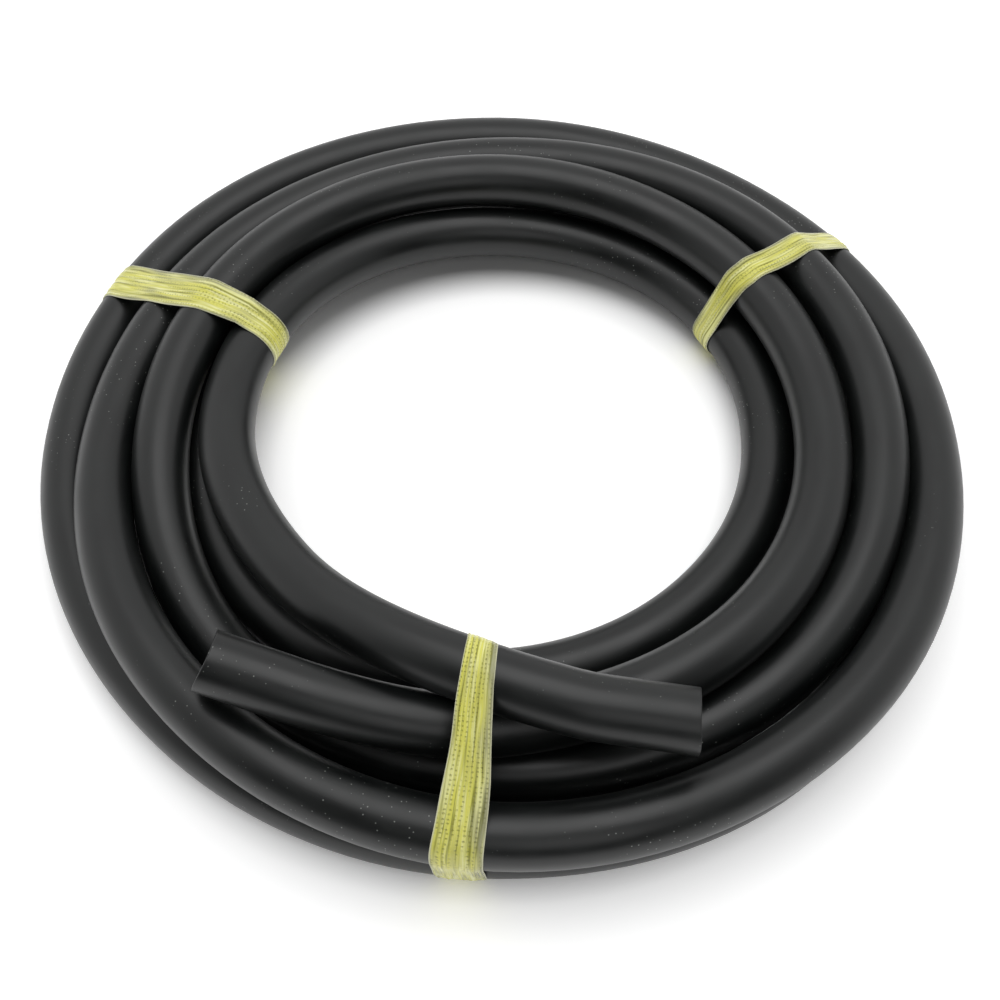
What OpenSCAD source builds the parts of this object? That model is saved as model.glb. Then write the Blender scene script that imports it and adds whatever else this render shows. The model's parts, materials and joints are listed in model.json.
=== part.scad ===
// A coil of smooth rubber water hose with two bare cut ends, held by three tape ties.
// The origin is under the middle of the coil, at the surface it lies on. +Z is up,
// and the two loose ends cross over each other at the front, on the -Y side.

/* [Hose] */
// Outside diameter of the hose; the whole coil grows with it
hose_d = 24; // [18:1:36]
// Diameter of the bore that shows at each cut end
bore_d = 16; // [8:1:16]
// Length of the straight piece with a true bore at each cut end
end_l = 36; // [20:1:40]

/* [Ties] */
// Thickness of the folded tape, which the coil lies on
tape_t = 0.6; // [0.4:0.1:1]
// Width of the tape over the crossed ends at the front
front_tape_w = 16; // [8:1:20]
// Width of the tape on the left
left_tape_w = 18; // [8:1:20]
// Width of the tape on the right
right_tape_w = 13; // [8:1:20]
// Diameter of the knot that closes each tie, tucked up between the lowest turns
knot_d = 8; // [5:1:9]

/* [Hidden] */

// The route is drawn for a 24 mm hose and grows with the real one.
route_hose_d = 24;
grow = hose_d / route_hose_d;
// Centre of the coil's circles, which puts the middle of its box over the origin
coil_centre = [0.9, -4.7];

// Centre line of the hose as [radius, height]. Each row is one turn, at the eight
// compass points, clockwise from the front. Turns lie beside and on each other, and
// the second one runs underneath, from the inside to the outside.
compass = 45;
turns = [
    [[139, 65], [117, 49], [117, 37], [124, 29], [128, 22], [131, 15], [121, 15], [114, 16]],
    [[114, 14], [124, 12], [132, 12], [142, 12], [150, 12], [159, 12], [167, 12], [184, 12]],
    [[181, 12], [182, 12], [191, 13], [199, 18], [197, 20], [194, 19], [187, 29], [189, 36]],
    [[186, 36], [176, 36], [169, 28], [168, 30], [165, 34], [168, 36], [164, 37], [163, 29]],
    [[154, 17], [151, 20], [145, 34], [145, 41], [141, 44], [140, 40], [139, 38], [142, 42]]
];
// The tails run on in the same steps, and their last stations only steer the cut ends.
right_tail = [[274, 58], [202, 62]];
left_tail = [[146, 42], [176, 66], [289, 88]];
stations = concat(right_tail, [for (turn = turns) each turn], left_tail);
first_station = -2 * compass;

// Where the hose is cut, as angles along the route
right_cut = -24.4;
left_cut = 5 * 360 + 39;

// Angle of each tie round the coil, clockwise from the front
front_angle = 3.5;
left_angle = 115;
right_angle = 236;
// The tape's half width as an angle at the innermost turn
inner_r = 112;
function half_tape(w) = w / 2 / grow / inner_r * 180 / PI;
tie_edges = [
    front_angle - half_tape(front_tape_w), front_angle + half_tape(front_tape_w),
    left_angle - half_tape(left_tape_w), left_angle + half_tape(left_tape_w),
    right_angle - half_tape(right_tape_w), right_angle + half_tape(right_tape_w)
];

hose_sides = 12;
// Steps of the swept hose between two ties
steps = 4;
// Room between the hose and the tape round it
tape_gap = 0.2;
// Room between the swept hose and each straight end, so that a hose tail stops at the end
end_gap = 0.05;
outline_sides = 60;

// A smooth curve through b and c, a fraction f of the way between them
function blend(a, b, c, d, f) =
    b + f / 2 * (c - a + f * (2 * a - 5 * b + 4 * c - d + f * (3 * b - a - 3 * c + d)));

// [radius, height] of the centre line at an angle along the route
function section(angle) =
    let (u = (angle - first_station) / compass, i = floor(u))
    grow * blend(stations[i - 1], stations[i], stations[i + 1], stations[i + 2], u - i)
    + [0, tape_t];

function centre_line(angle) =
    let (s = section(angle))
    [coil_centre.x - s.x * sin(angle), coil_centre.y - s.x * cos(angle), s.y];

function unit(v) = v / norm(v);
function along(angle) = unit(centre_line(angle + 1) - centre_line(angle - 1));

// The straight ends meet the swept hose where a chord of end_l from the cut lands on it,
// found by steps that get finer each time they go past it.
function meeting(cut, way, step = 4, stride = 1) =
    norm(centre_line(cut + way * step) - centre_line(cut)) < end_l
    ? meeting(cut, way, step + stride, stride)
    : stride < 0.001 ? cut + way * step : meeting(cut, way, step - stride, stride / 8);
right_meeting = meeting(right_cut, 1);
left_meeting = meeting(left_cut, -1);

// Ring angles: straight under each tie, and even steps from one tie to the next
function ring_steps(a, b) = [for (i = [1:steps]) a + (b - a) * i / steps];
one_turn = concat(
    ring_steps(tie_edges[1], tie_edges[2]), [tie_edges[3]],
    ring_steps(tie_edges[3], tie_edges[4]), [tie_edges[5]],
    ring_steps(tie_edges[5], tie_edges[0] + 360), [tie_edges[1] + 360]
);
wound = concat(
    [tie_edges[0], tie_edges[1]],
    [for (t = [0:4]) for (a = one_turn) a + 360 * t],
    [(5 * 360 + tie_edges[1] + left_cut) / 2]
);
ring_angles = concat([right_meeting], [for (a = wound) if (a < left_meeting - 5) a], [left_meeting]);

// One ring of corners round a centre, square to a direction, with a flat side down
function ring(centre, direction) =
    let (side = unit(cross(direction, [0, 0, 1])), up = cross(side, direction))
    [for (k = [0:hose_sides - 1])
        let (a = (k + 0.5) * 360 / hose_sides)
        centre + hose_d / 2 * (cos(a) * side + sin(a) * up)];

// Direction that a ring faces: along the straight end at the two meetings
function facing(angle) =
    angle == right_meeting ? unit(centre_line(right_meeting) - centre_line(right_cut))
    : angle == left_meeting ? unit(centre_line(left_cut) - centre_line(left_meeting))
    : along(angle);

// Which way along the route leads away from the cut, at the two meetings
function inward(angle) = angle == right_meeting ? 1 : angle == left_meeting ? -1 : 0;

module hose_coil() {
    count = len(ring_angles);
    n = hose_sides;
    points = [for (a = ring_angles)
        each ring(centre_line(a) + inward(a) * end_gap * facing(a), facing(a))];
    walls = [for (i = [0:count - 2], k = [0:n - 1])
        let (a = i * n + k, b = i * n + (k + 1) % n)
        each [[a, b, a + n], [b, b + n, a + n]]];
    first_cap = [for (k = [n - 1:-1:0]) k];
    last_cap = [for (k = [0:n - 1]) (count - 1) * n + k];
    color("#2e3231") polyhedron(points, concat([first_cap], walls, [last_cap]));
}

// A straight tube from where the swept hose stops to the cut
module cut_end(meeting_angle, cut_angle) {
    from = centre_line(meeting_angle);
    to = centre_line(cut_angle);
    way = to - from;
    length = norm(way);
    color("#2e3231")
        translate(from)
            rotate([0, acos(way.z / length), atan2(way.y, way.x)])
                difference() {
                    cylinder(d = hose_d, h = length, $fn = 64);
                    translate([0, 0, -1]) cylinder(d = bore_d, h = length + 2, $fn = 64);
                }
}

module hose_left_end() cut_end(left_meeting, left_cut);
module hose_right_end() cut_end(right_meeting, right_cut);

// Every turn that passes an angle, from the right cut to the left one
function passes(angle) =
    [for (t = [0:5]) let (a = angle + 360 * t) if (a > right_cut && a < left_cut) a];

// The outline that a taut tape takes round all the turns, in [radius, height]. A turn
// that crosses at a slant is wider there, and its straight step sags in between the edges.
module turns_outline(angle, half) {
    hull()
        for (a = passes(angle), edge = [-half, half]) {
            s = section(a + edge);
            slope = (section(a + edge + 1).x - section(a + edge - 1).x) / (s.x * 2 * PI / 180);
            for (sag = [1, cos(half)])
                translate([s.x * sag, s.y])
                    scale([sqrt(1 + slope * slope), 1])
                        circle(d = hose_d + 2 * tape_gap, $fn = outline_sides);
        }
}

// A tie: one loop of tape round the turns, with its knot standing inside the loop on
// the tape, its foot at [radius, height]
module tie(angle, width, foot) {
    color("#c9c659")
        translate([coil_centre.x, coil_centre.y, tape_gap])
            rotate([90, 0, -90 - angle]) {
                linear_extrude(width, center = true)
                    difference() {
                        offset(r = tape_t) turns_outline(angle, half_tape(width));
                        turns_outline(angle, half_tape(width));
                    }
                translate(foot * grow + [0, knot_d / 2]) sphere(d = knot_d, $fn = 32);
            }
}

module front_tie() tie(front_angle, front_tape_w, [133, 1]);
module left_tie() tie(left_angle, left_tape_w, [155, 1]);
module right_tie() tie(right_angle, right_tape_w, [144, 1]);

hose_coil();
hose_left_end();
hose_right_end();
front_tie();
left_tie();
right_tie();
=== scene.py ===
"""A coil of smooth black rubber water hose, cut square at both ends and held by three
ties of yellow film. Lengths are in metres; angles round the coil are in degrees,
clockwise from the front as seen from above."""

import json

import bpy
import numpy as np
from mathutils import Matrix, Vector

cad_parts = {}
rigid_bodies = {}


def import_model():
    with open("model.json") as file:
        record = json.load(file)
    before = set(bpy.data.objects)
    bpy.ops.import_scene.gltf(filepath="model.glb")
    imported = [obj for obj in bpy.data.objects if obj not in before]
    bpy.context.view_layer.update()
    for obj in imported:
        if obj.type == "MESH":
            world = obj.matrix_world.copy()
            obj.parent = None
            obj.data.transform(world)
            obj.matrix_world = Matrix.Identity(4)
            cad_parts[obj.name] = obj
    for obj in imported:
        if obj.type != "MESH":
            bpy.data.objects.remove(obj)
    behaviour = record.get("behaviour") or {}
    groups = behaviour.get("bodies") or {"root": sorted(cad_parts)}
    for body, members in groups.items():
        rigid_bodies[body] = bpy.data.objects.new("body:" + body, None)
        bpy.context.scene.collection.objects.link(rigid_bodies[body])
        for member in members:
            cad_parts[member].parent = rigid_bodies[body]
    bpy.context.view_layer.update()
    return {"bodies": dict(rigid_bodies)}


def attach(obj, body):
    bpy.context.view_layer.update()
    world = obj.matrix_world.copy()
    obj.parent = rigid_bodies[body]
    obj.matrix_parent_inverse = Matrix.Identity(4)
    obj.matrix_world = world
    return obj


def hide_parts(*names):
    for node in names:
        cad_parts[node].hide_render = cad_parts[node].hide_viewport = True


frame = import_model()

MM = 0.001
root_body = next(iter(frame["bodies"]))


# ---------------------------------------------------------------- camera

CAMERA_PLACE = Vector((1.8, -346.8, 481.9)) * MM
CAMERA_AIM = Vector((1.8, -39.3, 24.6)) * MM
SENSOR_WIDTH, LENS = 36.0, 46.5     # mm

camera_data = bpy.data.cameras.new("camera")
camera_data.sensor_width, camera_data.lens = SENSOR_WIDTH, LENS
camera_data.clip_start, camera_data.clip_end = 0.02, 20.0
camera = bpy.data.objects.new("camera", camera_data)
camera.location = CAMERA_PLACE
camera.rotation_euler = (CAMERA_AIM - CAMERA_PLACE).to_track_quat("-Z", "Y").to_euler()
bpy.context.scene.collection.objects.link(camera)
bpy.context.scene.camera = camera


# ---------------------------------------------------------------- the hose's route

HOSE_R = 12.0 * MM
BORE_R = 8.0 * MM
END_L = 36.0 * MM
FILM_UNDER = 0.6 * MM
COIL_CENTRE = np.array([0.9, -4.7]) * MM

# Centre line as (radius, height) in mm at the eight compass points, a row for each turn,
# with the stations that only steer the two loose ends before and after
COMPASS = 45.0
STATIONS = np.array([
    (274, 58), (202, 62),
    (139, 65), (117, 49), (117, 37), (124, 29), (128, 22), (131, 15), (121, 15), (114, 16),
    (114, 14), (124, 12), (132, 12), (142, 12), (150, 12), (159, 12), (167, 12), (184, 12),
    (181, 12), (182, 12), (191, 13), (199, 18), (197, 20), (194, 19), (187, 29), (189, 36),
    (186, 36), (176, 36), (169, 28), (168, 30), (165, 34), (168, 36), (164, 37), (163, 29),
    (154, 17), (151, 20), (145, 34), (145, 41), (141, 44), (140, 40), (139, 38), (142, 42),
    (146, 42), (176, 66), (289, 88)]) * MM
FIRST_STATION = -2 * COMPASS
# Where the hose is cut, and where the straight ends of the CAD meet its wound length
RIGHT_CUT, LEFT_CUT = -24.4, 1839.0
RIGHT_MEETING, LEFT_MEETING = -13.02, 1827.12
# The wound route starts to straighten at the first distance from a cut, and is straight
# from the second on
BENDS_UNTIL, STRAIGHT_FROM = 1.4 * END_L, 0.7 * END_L


def section(angles):
    """Radius and height of the centre line at angles along the route: a Catmull-Rom curve
    through the stations, b + f/2 (c - a + f (2a - 5b + 4c - d + f (3b - a - 3c + d)))
    at the share f of the way from station b to station c."""
    u = (np.asarray(angles, float) - FIRST_STATION) / COMPASS
    i = np.floor(u).astype(int)
    f = (u - i)[..., None]
    a, b, c, d = (STATIONS[i + k] for k in (-1, 0, 1, 2))
    drawn = b + f / 2 * (c - a + f * (2 * a - 5 * b + 4 * c - d + f * (3 * b - a - 3 * c + d)))
    return drawn + [0, FILM_UNDER]


def round_coil(radius, angles, height):
    """The points at a radius, angle and height round the coil's centre:
    x = cx - r sin(angle), y = cy - r cos(angle)."""
    turn = np.radians(angles)
    return np.stack([COIL_CENTRE[0] - radius * np.sin(turn),
                     COIL_CENTRE[1] - radius * np.cos(turn), height], axis=-1)


def centre_line(angles):
    """Centre line points at angles along the route."""
    radius, height = np.moveaxis(section(angles), -1, 0)
    return round_coil(radius, np.asarray(angles, float), height)


def smooth_step(x):
    """0 below 0, 1 above 1, and 3x^2 - 2x^3 between them."""
    x = np.clip(x, 0, 1)
    return x * x * (3 - 2 * x)


def run_along(points):
    """Distance run along a line of points, from its first."""
    return np.concatenate([[0], np.cumsum(np.linalg.norm(np.diff(points, axis=0), axis=1))])


def straightened(points, cut, meeting):
    """The same points with the last stretch before the cut laid on the straight line from
    meeting to cut: each is mixed with cut - t * way, t being its distance from the cut,
    by a share that rises from 0 at BENDS_UNTIL to 1 at STRAIGHT_FROM."""
    way = (cut - meeting) / np.linalg.norm(cut - meeting)
    run = run_along(points)
    to_cut = (run if np.allclose(points[0], cut) else run[-1] - run)[:, None]
    share = smooth_step((BENDS_UNTIL - to_cut) / (BENDS_UNTIL - STRAIGHT_FROM))
    return points + share * (cut - to_cut * way - points)


RING_STEP = 2.4                     # degrees, about 6 mm of hose
ring_angles = np.linspace(RIGHT_CUT, LEFT_CUT, round((LEFT_CUT - RIGHT_CUT) / RING_STEP) + 1)
route = centre_line(ring_angles)
for cut, meeting in ((RIGHT_CUT, RIGHT_MEETING), (LEFT_CUT, LEFT_MEETING)):
    route = straightened(route, centre_line(cut), centre_line(meeting))


# ---------------------------------------------------------------- making a mesh

def closed_surface(name, rows, sharp=None, **extra):
    """A smooth-shaded mesh object over a grid of points rows[i, j], each cell one
    four-sided face, with the last row and column joined back to the first. The faces are
    turned so that the volume that they enclose, a sixth of the sum of a . (b x c) over
    the triangles, is positive. extra are arrays of the same grid kept as point attributes;
    edges sharper than sharp degrees stay sharp."""
    n, m = rows.shape[:2]
    i, j = np.arange(n)[:, None], np.arange(m)[None, :]
    up, right = (i + 1) % n, (j + 1) % m
    faces = np.stack([i * m + j, i * m + right, up * m + right, up * m + j], axis=-1)
    points, faces = rows.reshape(-1, 3), faces.reshape(-1, 4)
    a, b, c, d = (points[faces[:, k]] for k in range(4))
    volume = (a * (np.cross(b, c) + np.cross(c, d))).sum() / 6
    if volume < 0:
        faces = faces[:, ::-1]

    mesh = bpy.data.meshes.new(name)
    mesh.from_pydata(points.tolist(), [], faces.tolist())
    mesh.shade_smooth()
    if sharp is not None:
        mesh.set_sharp_from_angle(angle=np.radians(sharp))
    for key, values in extra.items():
        vector = values.ndim == 3
        layer = mesh.attributes.new(key, "FLOAT_VECTOR" if vector else "FLOAT", "POINT")
        layer.data.foreach_set("vector" if vector else "value",
                               values.astype(np.float32).ravel())
    piece = bpy.data.objects.new(name, mesh)
    bpy.context.scene.collection.objects.link(piece)
    return piece


# ---------------------------------------------------------------- hose

HOSE_SIDES = 48
# The cut's edges as (distance in from the cut, radius) in mm, from the outside to the bore:
# a knife leaves them crisp, with a lip a third of a millimetre round
CUT_EDGE = np.array([(0.5, 12.0), (0.3, 11.98), (0.1, 11.88), (0.0, 11.65),
                     (0.0, 10.0),
                     (0.0, 8.3), (0.1, 8.1), (0.35, 8.0)]) * MM

# How far each cut leans in mm, and the side of the hose that it leans in on, as the angle
# q of tube_with_bore in degrees
CUT_LEANS = {"left": [(1.0, 34), (1.4, 124)], "right": [(1.0, 34)]}


def tube_with_bore(line):
    """The hose's wall as one closed grid: rings of points centre + r (cos q side + sin q up)
    carried along the line at the outer radius, round the far cut's edges, back along the
    bore, and round the near cut's edges. side is level and square to the line; the rings
    of a cut lean with the knife. The second array is the same point on the unbent hose:
    (r cos q, r sin q, distance run)."""
    run = run_along(line)
    ahead = np.gradient(line, axis=0)
    ahead /= np.linalg.norm(ahead, axis=1)[:, None]
    side = np.cross(ahead, [0, 0, 1])
    side /= np.linalg.norm(side, axis=1)[:, None]
    up = np.cross(side, ahead)

    inner = np.arange(1, len(line) - 1)
    n_cut = len(CUT_EDGE)
    at = np.concatenate([inner, np.full(n_cut, len(line) - 1), inner[::-1], np.zeros(n_cut, int)])
    radius = np.concatenate([np.full(len(inner), HOSE_R), CUT_EDGE[:, 1],
                             np.full(len(inner), BORE_R), CUT_EDGE[::-1, 1]])
    inset = np.concatenate([np.zeros(len(inner)), -CUT_EDGE[:, 0],
                            np.zeros(len(inner)), CUT_EDGE[::-1, 0]])
    q = (np.arange(HOSE_SIDES) + 0.5) * 2 * np.pi / HOSE_SIDES
    cos_q, sin_q = np.cos(q)[None, :, None], np.sin(q)[None, :, None]
    r = radius[:, None, None]
    centres = (line[at] + inset[:, None] * ahead[at])[:, None]
    points = centres + r * (cos_q * side[at][:, None] + sin_q * up[at][:, None])

    # A hand-held knife: each cut leans by a millimetre or so and waves a little
    wave = 0.25 * np.sin(2 * q + 1.1) + 0.12 * np.sin(3 * q) + 0.06 * np.sin(5 * q)
    lean = {cut: wave - sum(far * np.cos(q - np.radians(low)) for far, low in leans)
            for cut, leans in CUT_LEANS.items()}
    shift = np.zeros((len(at), HOSE_SIDES))
    shift[len(inner):len(inner) + n_cut] = lean["left"] * MM
    shift[-n_cut:] = -lean["right"] * MM
    points = points + (shift * r[..., 0] / HOSE_R)[..., None] * ahead[at][:, None]

    unbent = np.stack([radius[:, None] * np.cos(q), radius[:, None] * np.sin(q),
                       (run[at] + inset)[:, None] + 0 * q[None]], axis=-1)
    return points, unbent


hose_rows, hose_unbent = tube_with_bore(route)
hose = closed_surface("garden_hose", hose_rows, sharp=40, unbent=hose_unbent)
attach(hose, root_body)
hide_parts("hose_coil", "hose_left_end", "hose_right_end")


# ---------------------------------------------------------------- ties

# For each tie: radii in mm with the band's angle in degrees and width in mm there, the
# radius at which its knot sits on the band's lowest run, and how far the bunch of film
# leans to one edge, as a share of half its width
TIES = {
    "front_tie": dict(radii=(128, 147, 174, 196), angles=(2.3, 2.95, 3.5, 4.15),
                      widths=(11.3, 12.6, 16.7, 19.4), knot=133, lean=0.14, seed=3),
    "left_tie": dict(radii=(108, 126, 147, 202), angles=(114.0, 115.0, 114.2, 116.5),
                     widths=(16.0, 16.5, 18.6, 20.6), knot=155, lean=-0.06, seed=11),
    "right_tie": dict(radii=(116, 134, 148, 198), angles=(235.4, 237.3, 237.2, 235.6),
                      widths=(12.2, 13.2, 13.6, 13.0), knot=144, lean=0.05, seed=7),
}
FILM_GAP = 0.25 * MM                # between the hose and the film's inner face
# Points round the band, across its outer face and across its inner one
BAND_STEPS, BAND_ACROSS, BAND_INSIDE = 720, 65, 9
OUTLINE_FACINGS = 1440              # directions in which the taut outline is worked out
FLAT_HALF = 8.5 * MM                # half the band, laid out flat with its ribs straight
TURN_NUMBERS = np.arange(6) * 360.0
# The bunch wanders in this many waves, each at most 4 to this length of the band
WANDER_WAVES, WANDER_LENGTH = 4, 90 * MM
FREE_MOST, PRESSED_MOST = 2.0, 0.33     # mm that the bunch may stand, free and underneath
KNOT_HEIGHT = 4.3 * MM              # of the knot's middle above the floor
KNOT_STEPS, KNOT_SIDES = 96, 16
KNOT_BUNCH = 0.85 * MM              # radius of the film bunched into the knot


def taut_round(centres, reach):
    """A taut band's outline round circles of radius reach at centres (radius, height): for
    each direction n the band touches the circle whose centre is furthest along n, at
    centre + reach n, and runs straight from one circle to the next. Returned from its foot
    at BAND_STEPS even steps, with the outward directions and the whole length."""
    angle = np.radians(np.linspace(-90, 270, OUTLINE_FACINGS + 1)[:-1])
    facing = np.stack([np.cos(angle), np.sin(angle)], axis=1)
    touched = centres[(centres @ facing.T).argmax(axis=0)] + reach * facing
    closed = np.concatenate([touched, touched[:1]])
    run = run_along(closed)
    at = np.arange(BAND_STEPS) * run[-1] / BAND_STEPS
    outline = np.stack([np.interp(at, run, closed[:, k]) for k in (0, 1)], axis=1)
    along = np.roll(outline, -1, axis=0) - np.roll(outline, 1, axis=0)
    along /= np.linalg.norm(along, axis=1)[:, None]
    return outline, np.stack([along[:, 1], -along[:, 0]], axis=1), run[-1]


def wandering(at, length, rng):
    """A slow wave along a closed band, between about -1 and 1: a sum of sines that each go
    a whole number of times round it."""
    total = 0 * at
    for _ in range(WANDER_WAVES):
        times = rng.integers(1, max(2, int(length / WANDER_LENGTH * 4)))
        total = total + np.sin(2 * np.pi * times * at / length + rng.uniform(0, 2 * np.pi))
    return total / WANDER_WAVES ** 0.5 / 1.2


def pleated(across, at, length, lean, rng):
    """How thick the bunched film stands, and how many layers it has there, over the band.
    across runs from -1 to 1, and at is the distance along it. A pleat is a ridge
    size (1 - |across - place| / reach)^0.8, kept above 0, whose place, reach and size
    wander; the bunch is thickest about lean, 1 - |across - lean|^4, and the film's own
    two edges stay a single layer."""
    body = np.clip(1 - np.abs(across - lean - 0.06 * wandering(at, length, rng)) ** 4, 0, 1)
    layers, height = 0.1 + 0.65 * body, (0.12 + 0.30 * body) * MM
    for place in np.linspace(-0.86, 0.86, 8):
        middle = place + rng.uniform(-0.07, 0.07) + 0.05 * wandering(at, length, rng)
        reach = rng.uniform(0.10, 0.22) * (1 + 0.3 * wandering(at, length, rng))
        ridge = np.clip(1 - np.abs(across - middle) / reach, 0, 1) ** 0.8
        size = rng.uniform(0.12, 0.34) + 0.10 * wandering(at, length, rng)
        height = height + MM * ridge * np.clip(size, 0.03, 0.5)
        layers = layers + ridge * (0.5 * (size - 0.2) + 0.18 * wandering(at, length, rng))
    return height, np.clip(layers, 0, 1.2)


def tie_band(tie):
    """The band as one closed grid, rows round the turns and columns across: at each column
    the turns' centres at that column's own angle give a taut outline, and the outer face
    stands off it by the pleats' height. The inner face closes it. Returned with the same
    points on the band laid out flat, and with the layers of film at each."""
    rng = np.random.default_rng(tie["seed"])
    share_out = np.linspace(-1, 1, BAND_ACROSS)
    share = np.concatenate([share_out, np.linspace(1, -1, BAND_INSIDE)])
    radii, widths = np.array(tie["radii"]) * MM, np.array(tie["widths"]) * MM
    middle = np.mean(tie["angles"])

    def angle_at(radius, s):
        """Angle round the coil at a radius, s being -1 and 1 at the band's two edges."""
        return (np.interp(radius, radii, tie["angles"])
                + np.degrees(s * np.interp(radius, radii, widths) / 2 / radius))

    columns, outward, length = [], [], 0
    for s in share:
        passes = np.array([a for a in TURN_NUMBERS + middle if RIGHT_CUT < a < LEFT_CUT])
        for _ in range(3):          # the angle depends on the radius, and the other way round
            centres = section(passes)
            passes = np.round((passes - middle) / 360) * 360 + angle_at(centres[:, 0], s)
        outline, normal, length = taut_round(section(passes), HOSE_R + FILM_GAP)
        columns.append(outline)
        outward.append(normal)
    outline, normal = np.stack(columns, 1), np.stack(outward, 1)
    at = (np.arange(BAND_STEPS) * length / BAND_STEPS)[:, None]
    across = np.broadcast_to(share_out, (BAND_STEPS, BAND_ACROSS))
    height, layers = pleated(across, at, length, tie["lean"], rng)
    # The film's edges turn down onto the hose, and under the coil it is pressed flat
    height = height * np.clip((1 - np.abs(across)) / 0.06, 0.35, 1)
    facing_down = np.clip(-normal[:, :BAND_ACROSS, 1] * 4 - 2, 0, 1)
    height = np.minimum(height, (FREE_MOST - facing_down * (FREE_MOST - PRESSED_MOST)) * MM)
    inside = np.zeros((BAND_STEPS, BAND_INSIDE))
    height = np.concatenate([height, inside], axis=1)
    layers = np.concatenate([layers, inside + 0.4], axis=1)
    # Each of its two edges is a little nearer or further from place to place
    waver = 1 + 0.035 * np.stack([wandering(at[:, 0], length, rng) for _ in range(2)], 1)
    edge = np.where(share[None] < 0, waver[:, :1], waver[:, 1:])

    outline = outline + height[..., None] * normal
    radius, z = outline[..., 0], outline[..., 1]
    rows = round_coil(radius, angle_at(radius, share * edge), z)
    flat = np.stack([share * FLAT_HALF + 0 * radius, at + 0 * share, 0 * radius], axis=-1)
    return rows, flat, layers


def knot_in(tie):
    """An overhand knot in the bunched film, on the band's lowest run: a bunch carried
    along the trefoil (sin t + 2 sin 2t, cos t - 2 cos 2t, -0.9 sin 3t), in mm, whose
    radius is KNOT_BUNCH (1 + 0.18 sin(5q + 4t)) in the direction q."""
    angle = np.interp(tie["knot"], tie["radii"], tie["angles"])
    place = round_coil(tie["knot"] * MM, angle, KNOT_HEIGHT)
    t = np.linspace(0, 2 * np.pi, KNOT_STEPS + 1)[:-1]
    line = np.stack([np.sin(t) + 2 * np.sin(2 * t), np.cos(t) - 2 * np.cos(2 * t),
                     -0.9 * np.sin(3 * t)], axis=1) * MM
    ahead = np.roll(line, -1, axis=0) - np.roll(line, 1, axis=0)
    ahead /= np.linalg.norm(ahead, axis=1)[:, None]
    side = np.cross(ahead, [0, 0, 1])
    side /= np.linalg.norm(side, axis=1)[:, None]
    up = np.cross(side, ahead)
    q = np.arange(KNOT_SIDES) * 2 * np.pi / KNOT_SIDES
    bunch = KNOT_BUNCH * (1 + 0.18 * np.sin(5 * q[None] + 4 * t[:, None]))
    rows = place + line[:, None] + bunch[..., None] * (
        np.cos(q)[None, :, None] * side[:, None] + np.sin(q)[None, :, None] * up[:, None])
    flat = np.stack([bunch * q[None], 4 * MM * t[:, None] + 0 * bunch, 0 * bunch], axis=-1)
    return rows, flat, 0 * bunch + 0.8


tie_pieces = []
for name, tie in TIES.items():
    for part, (rows, flat, layers) in (("_film", tie_band(tie)), ("_knot", knot_in(tie))):
        piece = closed_surface(name + part, rows, flat=flat, layers=layers)
        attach(piece, root_body)
        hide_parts(name)
        tie_pieces.append(piece)


# ---------------------------------------------------------------- materials

def linear(code):
    """An sRGB hex colour as linear RGBA."""
    c = np.array([int(code[k:k + 2], 16) for k in (1, 3, 5)]) / 255
    return (*np.where(c <= 0.04045, c / 12.92, ((c + 0.055) / 1.055) ** 2.4), 1.0)


def add(tree, kind, inputs=None, **settings):
    """Adds a node with its own settings, and fills its inputs, by name or number, each
    with another node's output or a plain value."""
    node = tree.nodes.new(kind)
    for key, value in settings.items():
        setattr(node, key, value)
    for key, value in (inputs or {}).items():
        if isinstance(value, bpy.types.NodeSocket):
            tree.links.new(value, node.inputs[key])
        else:
            node.inputs[key].default_value = value
    return node


def new_material(name):
    """An empty node material, with its tree and its output node."""
    material = bpy.data.materials.new(name)
    material.use_nodes = True
    tree = material.node_tree
    tree.nodes.clear()
    return material, tree, tree.nodes.new("ShaderNodeOutputMaterial")


def spacing(*mm):
    """The Mapping scale that makes a pattern's unit these many millimetres each way."""
    return tuple(1 / (size * MM) for size in mm)


# EPDM rubber, pushed through a die and cured: black all through and satin, with faint
# lines from the die, a thin uneven bloom of wax, and dust that clings to it
rubber, tree, out = new_material("extruded_epdm_rubber")
unbent = add(tree, "ShaderNodeAttribute", attribute_name="unbent").outputs["Vector"]

# Die lines are half a millimetre across and run for centimetres
at = add(tree, "ShaderNodeMapping", {"Vector": unbent, "Scale": spacing(0.5, 0.5, 60)})
die_lines = add(tree, "ShaderNodeTexNoise", {
    "Vector": at.outputs[0], "Scale": 1.0, "Detail": 2.0, "Roughness": 0.6}).outputs[0]
# The bloom lies in patches of 1 to 3 cm, longer along the hose
at = add(tree, "ShaderNodeMapping", {"Vector": unbent, "Scale": spacing(9, 9, 26)})
bloom = add(tree, "ShaderNodeTexNoise", {
    "Vector": at.outputs[0], "Scale": 1.0, "Detail": 4.0, "Roughness": 0.55}).outputs[0]
# The wall's thickness varies slowly, every 25 mm or so
at = add(tree, "ShaderNodeMapping", {"Vector": unbent, "Scale": spacing(16, 16, 25)})
swell = add(tree, "ShaderNodeTexNoise", {
    "Vector": at.outputs[0], "Scale": 1.0, "Detail": 1.0}).outputs[0]
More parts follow.
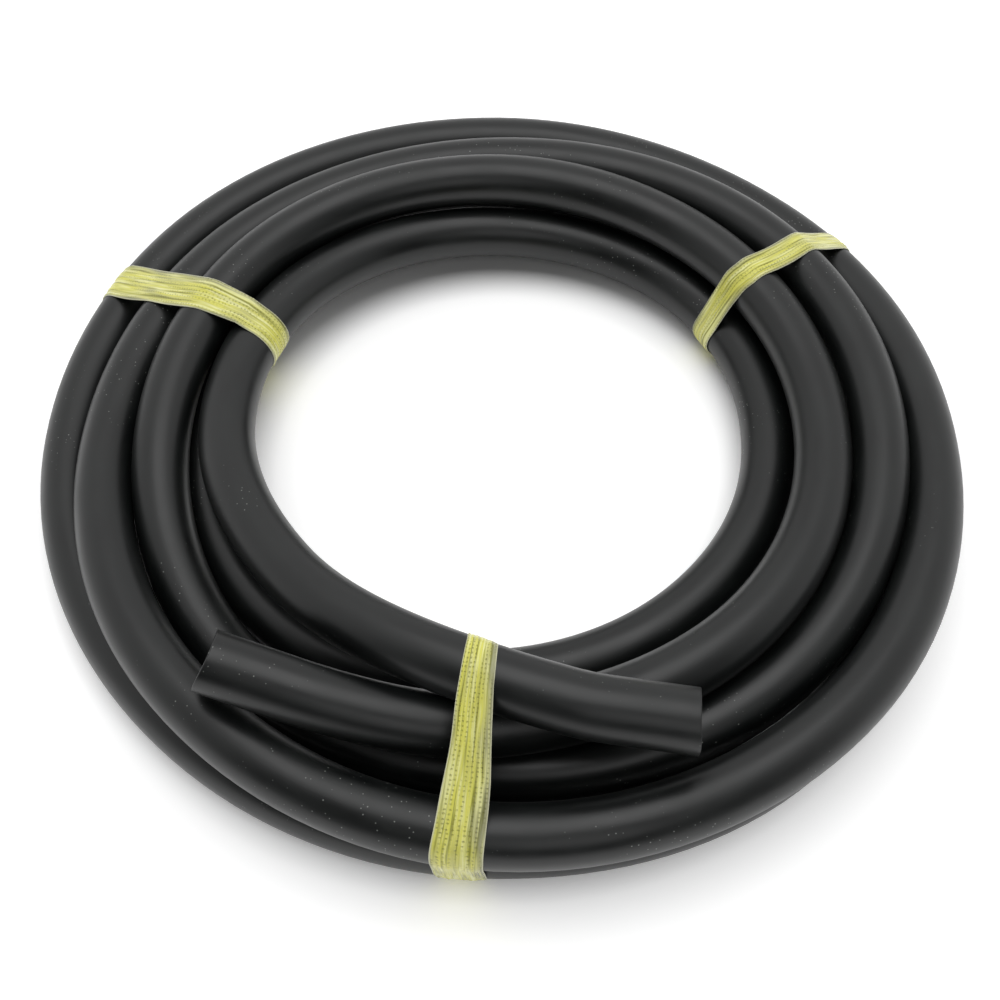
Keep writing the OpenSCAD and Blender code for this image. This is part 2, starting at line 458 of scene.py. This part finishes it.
# Dust is specks of a third to two thirds of a millimetre, drawn as coarse as they show,
# thick in some places and missing in others
at = add(tree, "ShaderNodeMapping", {"Vector": unbent, "Scale": spacing(2.4, 2.4, 2.4)})
speck = add(tree, "ShaderNodeTexVoronoi", {"Vector": at.outputs[0], "Scale": 1.0})
speck = add(tree, "ShaderNodeMapRange", {
    "Value": speck.outputs["Distance"], "From Min": 0.07, "From Max": 0.13,
    "To Min": 1.0, "To Max": 0.0}).outputs[0]
at = add(tree, "ShaderNodeMapping", {"Vector": unbent, "Scale": spacing(22, 22, 60)})
dusty = add(tree, "ShaderNodeTexNoise", {"Vector": at.outputs[0], "Scale": 1.0, "Detail": 1.0})
dusty = add(tree, "ShaderNodeMapRange", {
    "Value": dusty.outputs[0], "From Min": 0.54, "From Max": 0.64}).outputs[0]
dust = add(tree, "ShaderNodeMath", {0: speck, 1: dusty}, operation="MULTIPLY").outputs[0]

bloomed = add(tree, "ShaderNodeMapRange", {
    "Value": bloom, "From Min": 0.35, "From Max": 0.68}).outputs[0]
colour = add(tree, "ShaderNodeMix", {
    0: bloomed, 6: linear("#070909"), 7: linear("#101312")}, data_type="RGBA").outputs[2]
colour = add(tree, "ShaderNodeMix", {
    0: dust, 6: colour, 7: linear("#7a7d79")}, data_type="RGBA").outputs[2]
satin = add(tree, "ShaderNodeMapRange", {
    "Value": bloom, "From Min": 0.3, "From Max": 0.7, "To Min": 0.34, "To Max": 0.44}).outputs[0]
bump = add(tree, "ShaderNodeBump", {"Height": swell, "Strength": 1.0, "Distance": 0.16 * MM})
bump = add(tree, "ShaderNodeBump", {
    "Height": die_lines, "Strength": 1.0, "Distance": 0.010 * MM, "Normal": bump.outputs[0]})
shader = add(tree, "ShaderNodeBsdfPrincipled", {
    "Base Color": colour, "Roughness": satin, "IOR": 1.5, "Normal": bump.outputs[0]})
tree.links.new(shader.outputs[0], out.inputs["Surface"])
hose.data.materials.append(rubber)

# Blown polyethylene film, ribbed and embossed with rows of dots, torn to a tape and
# bunched: yellow where it lies thick, whitish and see-through where it is one layer
film, tree, out = new_material("pleated_polyethylene_film")
flat = add(tree, "ShaderNodeAttribute", attribute_name="flat").outputs["Vector"]
layers = add(tree, "ShaderNodeAttribute", attribute_name="layers").outputs["Fac"]

# Ribs are 0.4 mm apart and run the whole length of the tape
at = add(tree, "ShaderNodeMapping", {"Vector": flat, "Scale": spacing(0.4, 45, 1)})
ribs = add(tree, "ShaderNodeTexNoise", {
    "Vector": at.outputs[0], "Scale": 1.0, "Detail": 2.0, "Roughness": 0.6}).outputs[0]
# Folds 1 to 2 mm across; along them the film is painted a darker olive, as painted shade between
# the pleats
at = add(tree, "ShaderNodeMapping", {"Vector": flat, "Scale": spacing(1.3, 38, 1)})
folds = add(tree, "ShaderNodeTexNoise", {
    "Vector": at.outputs[0], "Scale": 1.0, "Detail": 2.0, "Roughness": 0.5}).outputs[0]
# Dots 0.8 mm across stand 1.7 mm apart in rows along the tape, and show in places
at = add(tree, "ShaderNodeMapping", {"Vector": flat, "Scale": spacing(1.9, 1.7, 1)})
dots = add(tree, "ShaderNodeTexVoronoi", {
    "Vector": at.outputs[0], "Scale": 1.0, "Randomness": 0.3}, voronoi_dimensions="2D")
dots = add(tree, "ShaderNodeMapRange", {
    "Value": dots.outputs["Distance"], "From Min": 0.12, "From Max": 0.26,
    "To Min": 1.0, "To Max": 0.0}).outputs[0]
at = add(tree, "ShaderNodeMapping", {"Vector": flat, "Scale": spacing(3.5, 22, 1)})
shown = add(tree, "ShaderNodeTexNoise", {"Vector": at.outputs[0], "Scale": 1.0, "Detail": 1.0})
shown = add(tree, "ShaderNodeMapRange", {
    "Value": shown.outputs[0], "From Min": 0.38, "From Max": 0.52}).outputs[0]
dots = add(tree, "ShaderNodeMath", {0: dots, 1: shown}, operation="MULTIPLY").outputs[0]

# Thickness seen: the layers, made uneven by the ribs
thick = add(tree, "ShaderNodeMath", {0: ribs, 1: 0.5, 2: layers}, operation="MULTIPLY_ADD")
thick = add(tree, "ShaderNodeMapRange", {
    "Value": thick.outputs[0], "From Min": 0.40, "From Max": 1.05}).outputs[0]
colour = add(tree, "ShaderNodeMix", {
    0: thick, 6: linear("#b0b088"), 7: linear("#dedb62")}, data_type="RGBA").outputs[2]
# Painted shade: the film is painted darker olive along the folds
painted_fold_shade = add(tree, "ShaderNodeMapRange", {
    "Value": folds, "From Min": 0.50, "From Max": 0.64}).outputs[0]
painted_fold_shade = add(tree, "ShaderNodeMath", {0: painted_fold_shade, 1: 0.75}, operation="MULTIPLY").outputs[0]
colour = add(tree, "ShaderNodeMix", {
    0: painted_fold_shade, 6: colour, 7: linear("#74751c")}, data_type="RGBA").outputs[2]
# Painted sheen: other folds lie flat and loose, and are painted whitish where they would shine
at = add(tree, "ShaderNodeMapping", {
    "Vector": flat, "Location": (3.0, 7.0, 0.0), "Scale": spacing(1.6, 30, 1)})
painted_sheen = add(tree, "ShaderNodeTexNoise", {"Vector": at.outputs[0], "Scale": 1.0, "Detail": 2.0})
painted_sheen = add(tree, "ShaderNodeMapRange", {
    "Value": painted_sheen.outputs[0], "From Min": 0.50, "From Max": 0.64, "To Max": 0.8}).outputs[0]
colour = add(tree, "ShaderNodeMix", {
    0: painted_sheen, 6: colour, 7: linear("#f0f0a8")}, data_type="RGBA").outputs[2]
# An embossed dot is a dimple, painted darker than the film round it as painted shade inside the
# dimple
painted_dimple_shade = add(tree, "ShaderNodeMath", {0: dots, 1: 0.4}, operation="MULTIPLY").outputs[0]
colour = add(tree, "ShaderNodeMix", {
    0: painted_dimple_shade, 6: colour, 7: linear("#8c8d3c")}, data_type="RGBA").outputs[2]
# Painted highlight: the torn edges are painted as a thin whitish line, where they catch the light
across = add(tree, "ShaderNodeSeparateXYZ", {"Vector": flat}).outputs["X"]
across = add(tree, "ShaderNodeMath", {0: across}, operation="ABSOLUTE").outputs[0]
edge = add(tree, "ShaderNodeMapRange", {
    "Value": across, "From Min": 0.93 * FLAT_HALF, "From Max": 0.98 * FLAT_HALF}).outputs[0]
colour = add(tree, "ShaderNodeMix", {
    0: edge, 6: colour, 7: linear("#d6d6b4")}, data_type="RGBA").outputs[2]
seen_through = add(tree, "ShaderNodeMapRange", {
    "Value": thick, "From Min": 0.0, "From Max": 0.6, "To Min": 0.72, "To Max": 1.0}).outputs[0]
seen_through = add(tree, "ShaderNodeMath", {0: seen_through, 1: edge}, operation="MAXIMUM")
bump = add(tree, "ShaderNodeBump", {"Height": folds, "Strength": 1.0, "Distance": 0.45 * MM})
bump = add(tree, "ShaderNodeBump", {
    "Height": ribs, "Strength": 1.0, "Distance": 0.12 * MM, "Normal": bump.outputs[0]})
bump = add(tree, "ShaderNodeBump", {
    "Height": dots, "Strength": 1.0, "Distance": -0.30 * MM, "Normal": bump.outputs[0]})
shader = add(tree, "ShaderNodeBsdfPrincipled", {
    "Base Color": colour, "Roughness": 0.26, "IOR": 1.5, "Alpha": seen_through.outputs[0],
    "Normal": bump.outputs[0]})
tree.links.new(shader.outputs[0], out.inputs["Surface"])
for piece in tie_pieces:
    piece.data.materials.append(film)


# ---------------------------------------------------------------- floor, light

FLOOR_SIZE = 6.0                    # metres
# The ring that the coil covers, in metres: the floor's glow fades out across the first
# pair of radii and comes back across the second
GLOW_FADES, GLOW_RETURNS = (0.100, 0.120), (0.185, 0.205)
GLOW = 0.35
corners = np.array([(-1, -1, 0), (1, -1, 0), (1, 1, 0), (-1, 1, 0)]) * FLOOR_SIZE / 2
floor_mesh = bpy.data.meshes.new("floor")
floor_mesh.from_pydata(corners.tolist(), [], [(0, 1, 2, 3)])
floor = bpy.data.objects.new("floor", floor_mesh)
bpy.context.scene.collection.objects.link(floor)
# White paper with painted light: it glows, which keeps it white where the coil's shadow falls on
# it. The glow is left out of the ring under the coil itself.
paper, tree, out = new_material("white_paper_with_painted_glow")
spot = add(tree, "ShaderNodeTexCoord").outputs["Object"]
radius = add(tree, "ShaderNodeVectorMath", {0: spot}, operation="LENGTH").outputs["Value"]
inside = add(tree, "ShaderNodeMapRange", {
    "Value": radius, "From Min": GLOW_FADES[0], "From Max": GLOW_FADES[1],
    "To Min": 1.0, "To Max": 0.0})
outside = add(tree, "ShaderNodeMapRange", {
    "Value": radius, "From Min": GLOW_RETURNS[0], "From Max": GLOW_RETURNS[1]})
glow = add(tree, "ShaderNodeMath", {
    0: inside.outputs[0], 1: outside.outputs[0]}, operation="ADD").outputs[0]
glow = add(tree, "ShaderNodeMath", {0: glow, 1: GLOW}, operation="MULTIPLY").outputs[0]
shader = add(tree, "ShaderNodeBsdfPrincipled", {
    "Base Color": linear("#fafafa"), "Roughness": 0.9,
    "Emission Color": linear("#ffffff"), "Emission Strength": glow})
tree.links.new(shader.outputs[0], out.inputs["Surface"])
floor_mesh.materials.append(paper)


def softbox(name, place, size, watts):
    """A white square area light of that side in metres, at place and turned to the coil."""
    data = bpy.data.lights.new(name, "AREA")
    data.shape, data.size, data.energy = "SQUARE", size, watts
    light = bpy.data.objects.new(name, data)
    light.location = place
    light.rotation_euler = (-Vector(place)).to_track_quat("-Z", "Y").to_euler()
    bpy.context.scene.collection.objects.link(light)


softbox("overhead_softbox", (0.0, 0.1, 1.5), 1.2, 8)
softbox("front_softbox", (0.2, -1.2, 1.1), 0.8, 3)

# The studio is white all round but for a dim patch in front, 22 degrees up, where the
# person who lights it stands. The patch shows in the gloss of the turns, and the camera
# itself sees plain white there.
world = bpy.data.worlds.new("white_studio")
world.use_nodes = True
tree = world.node_tree
DIM_UP = np.radians(22)
DIM_TOWARD = (0.0, -np.cos(DIM_UP), np.sin(DIM_UP))
STUDIO_STRENGTH = 0.89
direction = add(tree, "ShaderNodeTexCoord").outputs["Generated"]
dim = add(tree, "ShaderNodeVectorMath", {0: direction, 1: DIM_TOWARD}, operation="DOT_PRODUCT")
dim = add(tree, "ShaderNodeMapRange", {
    "Value": dim.outputs["Value"], "From Min": 0.25, "From Max": 0.80},
    interpolation_type="SMOOTHSTEP").outputs[0]
camera_sees = add(tree, "ShaderNodeLightPath").outputs["Is Camera Ray"]
dim = add(tree, "ShaderNodeMath", {0: dim, 1: camera_sees}, operation="SUBTRACT",
          use_clamp=True).outputs[0]
colour = add(tree, "ShaderNodeMix", {
    0: dim, 6: linear("#ffffff"), 7: linear("#1c1c1c")}, data_type="RGBA").outputs[2]
tree.links.new(colour, tree.nodes["Background"].inputs["Color"])
tree.nodes["Background"].inputs["Strength"].default_value = STUDIO_STRENGTH
bpy.context.scene.world = world
bpy.context.scene.view_settings.view_transform = "Standard"
